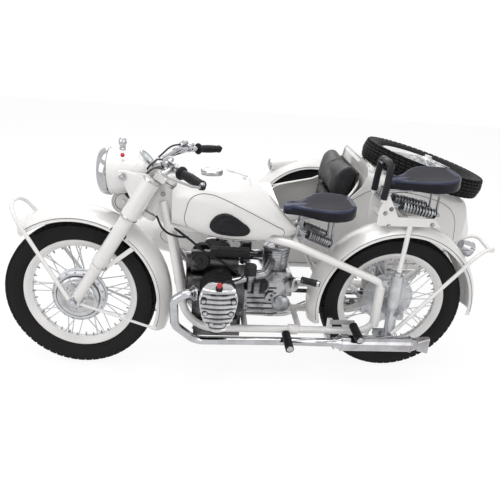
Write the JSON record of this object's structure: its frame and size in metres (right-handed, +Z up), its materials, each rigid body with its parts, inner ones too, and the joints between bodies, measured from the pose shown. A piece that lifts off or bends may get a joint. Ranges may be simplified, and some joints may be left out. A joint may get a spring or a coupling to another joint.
{
  "type": "sidecar motorcycle",
  "caption": "Solo motorcycle with a flat-twin engine and a boat-shaped sidecar on its right; it rolls on three wheels, steers, and its lids open.",
  "frame": {"origin": "on the ground, under the middle of the whole object's bounding box", "axes": "+X is the direction of travel, +Y is the rider's left, +Z is up; the sidecar is on the -Y side and the fork is turned 7 degrees to the right"},
  "size_m": [2.4167, 1.6708, 1.0397],
  "materials": {
    "white_paint": "gloss",
    "chrome": "polished",
    "alloy": "satin",
    "cast_iron": "matte",
    "steel": "satin",
    "tyre_rubber": "matte",
    "black_rubber": "matte",
    "black_leather": "satin",
    "wood": "matte"
  },
  "bodies": {
    "chassis": {"air_cleaner": "white_paint", "carburettors": "alloy", "crankcase": "alloy", "cylinder_heads": "alloy", "cylinders": "cast_iron", "exhausts": "chrome", "filler_cap": "chrome", "final_drive": "alloy", "footrests": "black_rubber", "frame_centre": "white_paint", "frame_loops": "white_paint", "fuel_tank": "white_paint", "gearbox": "alloy", "kick_lever": "chrome", "knee_pads": "black_rubber", "rear_axle": "steel", "rear_bumper": "white_paint", "rear_fender": "white_paint", "rear_plungers": "alloy", "rear_rack": "white_paint", "saddle_frames": "chrome", "saddles": "black_rubber", "sidecar_axle": "steel", "sidecar_body": "white_paint", "sidecar_body_mounts": "white_paint", "sidecar_chassis": "white_paint", "sidecar_cushions": "black_leather", "sidecar_fender": "white_paint", "sidecar_links": "steel", "sidecar_seat_base": "wood", "tail_lamp": "chrome"},
    "fork": {"fork_yokes": "white_paint", "fork_covers": "white_paint", "fork_sliders": "white_paint", "front_axle": "steel", "front_fender": "white_paint", "front_bumper": "white_paint", "headlamp": "white_paint", "headlamp_rim": "chrome", "horn": "white_paint", "handlebar": "chrome", "grips": "black_rubber"},
    "front_wheel": {"front_hub": "steel", "front_rim": "white_paint", "front_tyre": "tyre_rubber"},
    "rear_wheel": {"rear_tyre": "tyre_rubber", "rear_rim": "white_paint", "rear_hub": "steel"},
    "sidecar_wheel": {"sidecar_tyre": "tyre_rubber", "sidecar_rim": "white_paint", "sidecar_hub": "steel"},
    "tank_lid": {"tank_lid": "white_paint"},
    "boot_lid": {"boot_lid": "white_paint", "spare_hub": "steel", "spare_rim": "white_paint", "spare_tyre": "tyre_rubber"}
  },
  "joints": [
    {"name": "steering", "type": "hinge", "parent": "chassis", "child": "fork", "pos_m": [0.82043, 0.39664, 0.31056], "axis": [-0.5075, 0, 0.8616], "range_deg": [-30.93, 45.07]},
    {"name": "front_wheel_spin", "type": "hinge", "parent": "fork", "child": "front_wheel", "pos_m": [0.87003, 0.3895, 0.33978], "axis": [0.1061, 0.9924, 0.0625], "continuous": true},
    {"name": "rear_wheel_spin", "type": "hinge", "parent": "chassis", "child": "rear_wheel", "pos_m": [-0.55959, 0.39664, 0.34], "axis": [0, 1, 0], "continuous": true},
    {"name": "sidecar_wheel_spin", "type": "hinge", "parent": "chassis", "child": "sidecar_wheel", "pos_m": [-0.35459, -0.74336, 0.34], "axis": [0, 1, 0], "continuous": true},
    {"name": "tank_lid_hinge", "type": "hinge", "parent": "chassis", "child": "tank_lid", "pos_m": [0.19941, 0.33814, 0.91114], "axis": [0.9677, 0, 0.2521], "range_deg": [0, 100]},
    {"name": "boot_lid_hinge", "type": "hinge", "parent": "chassis", "child": "boot_lid", "pos_m": [-0.5415, -0.24336, 0.85526], "axis": [0, 1, 0], "range_deg": [0, 33]}
  ]
}
